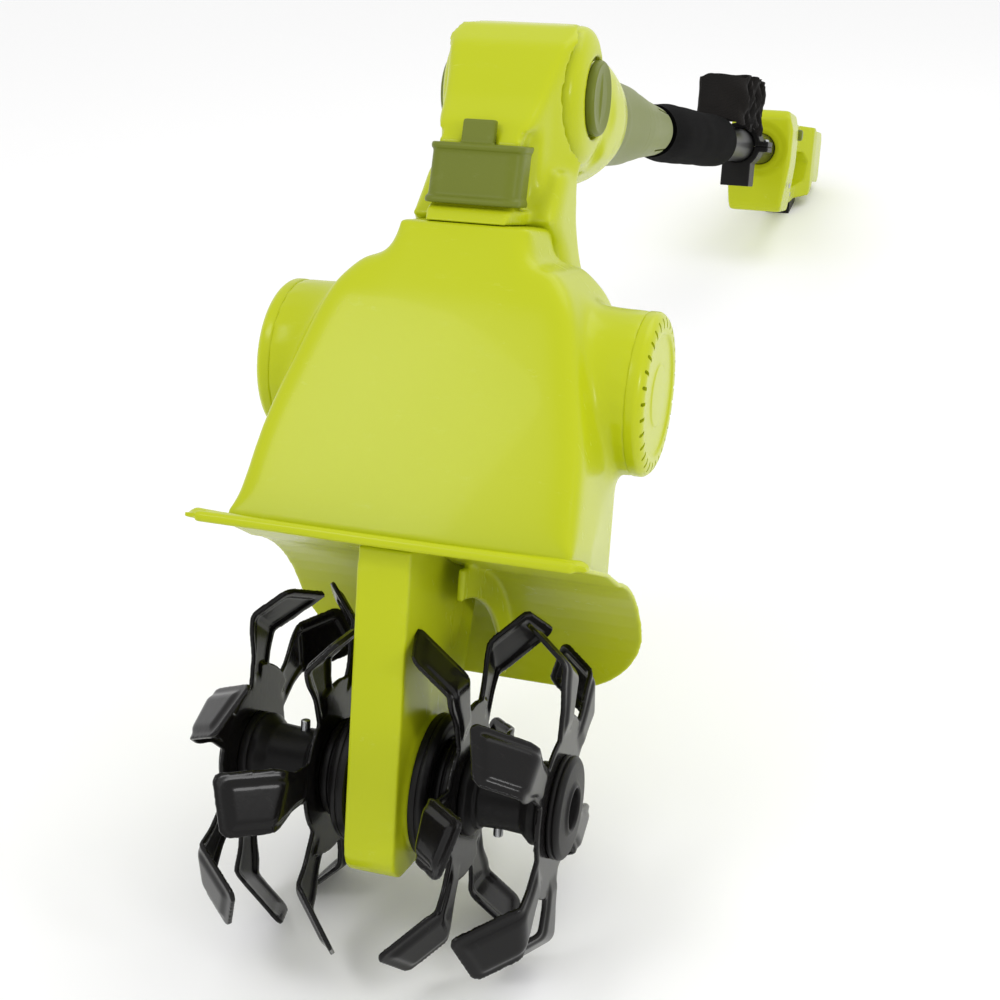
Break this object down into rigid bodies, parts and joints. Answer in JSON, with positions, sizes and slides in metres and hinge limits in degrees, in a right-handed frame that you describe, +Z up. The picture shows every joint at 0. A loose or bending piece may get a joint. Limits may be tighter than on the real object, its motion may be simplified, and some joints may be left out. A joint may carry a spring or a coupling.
{
  "type": "tiller",
  "caption": "Battery hand-held pole tiller: lime plastic cross-motor head on a gear leg, black tine stars, locking pivot, sliding pole and rear trigger handle.",
  "frame": {"origin": "on the ground, midway between the guard tip at the front and the battery at the back, on the centre plane", "axes": "+Z up, +Y from the tilling head back along the pole to the handle, +X to the right of someone looking at the head from the front"},
  "size_m": [0.246, 1.7064, 0.5026],
  "materials": {
    "lime_plastic": "glossy moulded, fine orange-peel",
    "olive_plastic": "satin moulded",
    "black_plastic": "satin moulded, fine texture",
    "black_steel": "glossy black enamel on stamped steel",
    "steel": "turned and ground",
    "black_tube": "black anodised tube",
    "foam": "soft closed-cell foam",
    "webbing": "woven flat webbing",
    "copper": "wound copper"
  },
  "bodies": {
    "root": {"leg_case_left": "lime_plastic", "leg_case_right": "lime_plastic", "seal_cup_left": "black_plastic", "seal_cup_right": "black_plastic", "tine_guard": "lime_plastic", "cowl_front": "lime_plastic", "cowl_rear": "lime_plastic", "motor_barrel_left": "lime_plastic", "motor_barrel_right": "lime_plastic", "motor_cap_left": "lime_plastic", "motor_cap_right": "lime_plastic", "stator": "steel", "gear_shaft_1": "steel", "gear_shaft_2": "steel", "gear_shaft_3": "steel", "neck_front": "lime_plastic", "neck_rear": "lime_plastic", "pivot_bolt": "steel"},
    "rotor": {"motor_shaft": "steel", "armature": "copper", "cooling_fan": "black_plastic", "pinion": "steel"},
    "idler_1": {"idler_gear_1": "steel"},
    "idler_2": {"idler_gear_2": "steel"},
    "idler_3": {"idler_gear_3": "steel"},
    "tines": {"tine_axle": "steel", "final_gear": "steel", "hitch_pin_left": "steel", "hitch_pin_right": "steel", "inner_hub_left": "black_plastic", "inner_hub_right": "black_plastic", "tine_sleeve_left": "black_plastic", "tine_sleeve_right": "black_plastic", "hub_flange_left": "black_plastic", "hub_flange_right": "black_plastic", "tine_star_outer_left": "black_steel", "tine_star_outer_right": "black_steel", "tine_star_inner_left": "black_steel", "tine_star_inner_right": "black_steel"},
    "latch": {"neck_latch": "olive_plastic"},
    "fork": {"yoke_left": "lime_plastic", "yoke_right": "lime_plastic", "socket_tube": "steel", "collet": "olive_plastic"},
    "nut": {"collar_nut": "olive_plastic"},
    "button_left": {"pivot_button_left": "olive_plastic"},
    "button_right": {"pivot_button_right": "olive_plastic"},
    "rear": {"pole_tube": "black_tube", "foam_sleeve": "foam", "strap_clamp_upper": "black_plastic", "strap_clamp_lower": "black_plastic", "folded_strap": "webbing", "handle_left": "lime_plastic", "handle_right": "lime_plastic", "handle_foot": "black_plastic"},
    "ring": {"strap_ring": "steel"},
    "trigger": {"trigger": "black_plastic"},
    "lock_button": {"lock_button": "olive_plastic"},
    "battery": {"battery_pack": "lime_plastic"},
    "battery_release": {"battery_release": "olive_plastic"}
  },
  "joints": [
    {"name": "tine_spin", "type": "hinge", "parent": "root", "child": "tines", "pos_m": [0, -0.74908, 0.10881], "axis": [1, 0, 0], "continuous": true},
    {"name": "rotor_spin", "type": "hinge", "parent": "root", "child": "rotor", "pos_m": [0, -0.60203, 0.31273], "axis": [1, 0, 0], "continuous": true},
    {"name": "idler_1_spin", "type": "hinge", "parent": "root", "child": "idler_1", "pos_m": [0, -0.62777, 0.27704], "axis": [1, 0, 0], "continuous": true},
    {"name": "idler_2_spin", "type": "hinge", "parent": "root", "child": "idler_2", "pos_m": [0, -0.66754, 0.22188], "axis": [1, 0, 0], "continuous": true},
    {"name": "idler_3_spin", "type": "hinge", "parent": "root", "child": "idler_3", "pos_m": [0, -0.70732, 0.16673], "axis": [1, 0, 0], "continuous": true},
    {"name": "head_pivot", "type": "hinge", "parent": "root", "child": "fork", "pos_m": [0, -0.46671, 0.45435], "axis": [1, 0, 0], "range_deg": [-25, 50]},
    {"name": "pivot_button_left_press", "type": "slide", "parent": "fork", "child": "button_left", "axis": [1, 0, 0], "range_m": [0, 0.0035], "stiffness_N_per_m": 900},
    {"name": "pivot_button_right_press", "type": "slide", "parent": "fork", "child": "button_right", "axis": [-1, 0, 0], "range_m": [0, 0.0035], "stiffness_N_per_m": 900},
    {"name": "collar_nut_turn", "type": "hinge", "parent": "fork", "child": "nut", "pos_m": [0, -0.2975, 0.39216], "axis": [0, 0.9563, -0.2924], "range_deg": [0, 60]},
    {"name": "pole_slide", "type": "slide", "parent": "fork", "child": "rear", "axis": [0, 0.9563, -0.2924], "range_m": [0, 0.12]},
    {"name": "neck_latch_open", "type": "hinge", "parent": "root", "child": "latch", "pos_m": [0, -0.58634, 0.41982], "axis": [1, 0, 0], "range_deg": [0, 60]},
    {"name": "strap_ring_swing", "type": "hinge", "parent": "rear", "child": "ring", "pos_m": [0, 0.38068, 0.21619], "axis": [1, 0, 0], "range_deg": [-75, 35]},
    {"name": "trigger_pull", "type": "hinge", "parent": "rear", "child": "trigger", "pos_m": [0, 0.61223, 0.11507], "axis": [1, 0, 0], "range_deg": [0, 10], "stiffness_Nm_per_rad": 0.6},
    {"name": "lock_button_press", "type": "slide", "parent": "rear", "child": "lock_button", "axis": [-1, 0, 0], "range_m": [0, 0.003], "stiffness_N_per_m": 500},
    {"name": "battery_slide", "type": "slide", "parent": "rear", "child": "battery", "axis": [0, 0.9563, -0.2924], "range_m": [0, 0.05]},
    {"name": "battery_release_press", "type": "slide", "parent": "battery", "child": "battery_release", "axis": [0, -0.2924, -0.9563], "range_m": [0, 0.003], "stiffness_N_per_m": 500}
  ],
  "couplings": [
    {"joint": "rotor_spin", "follows": "tine_spin", "ratio": 3.7406},
    {"joint": "idler_1_spin", "follows": "tine_spin", "ratio": -1.1002},
    {"joint": "idler_2_spin", "follows": "tine_spin", "ratio": 1.1002},
    {"joint": "idler_3_spin", "follows": "tine_spin", "ratio": -1.1002}
  ]
}
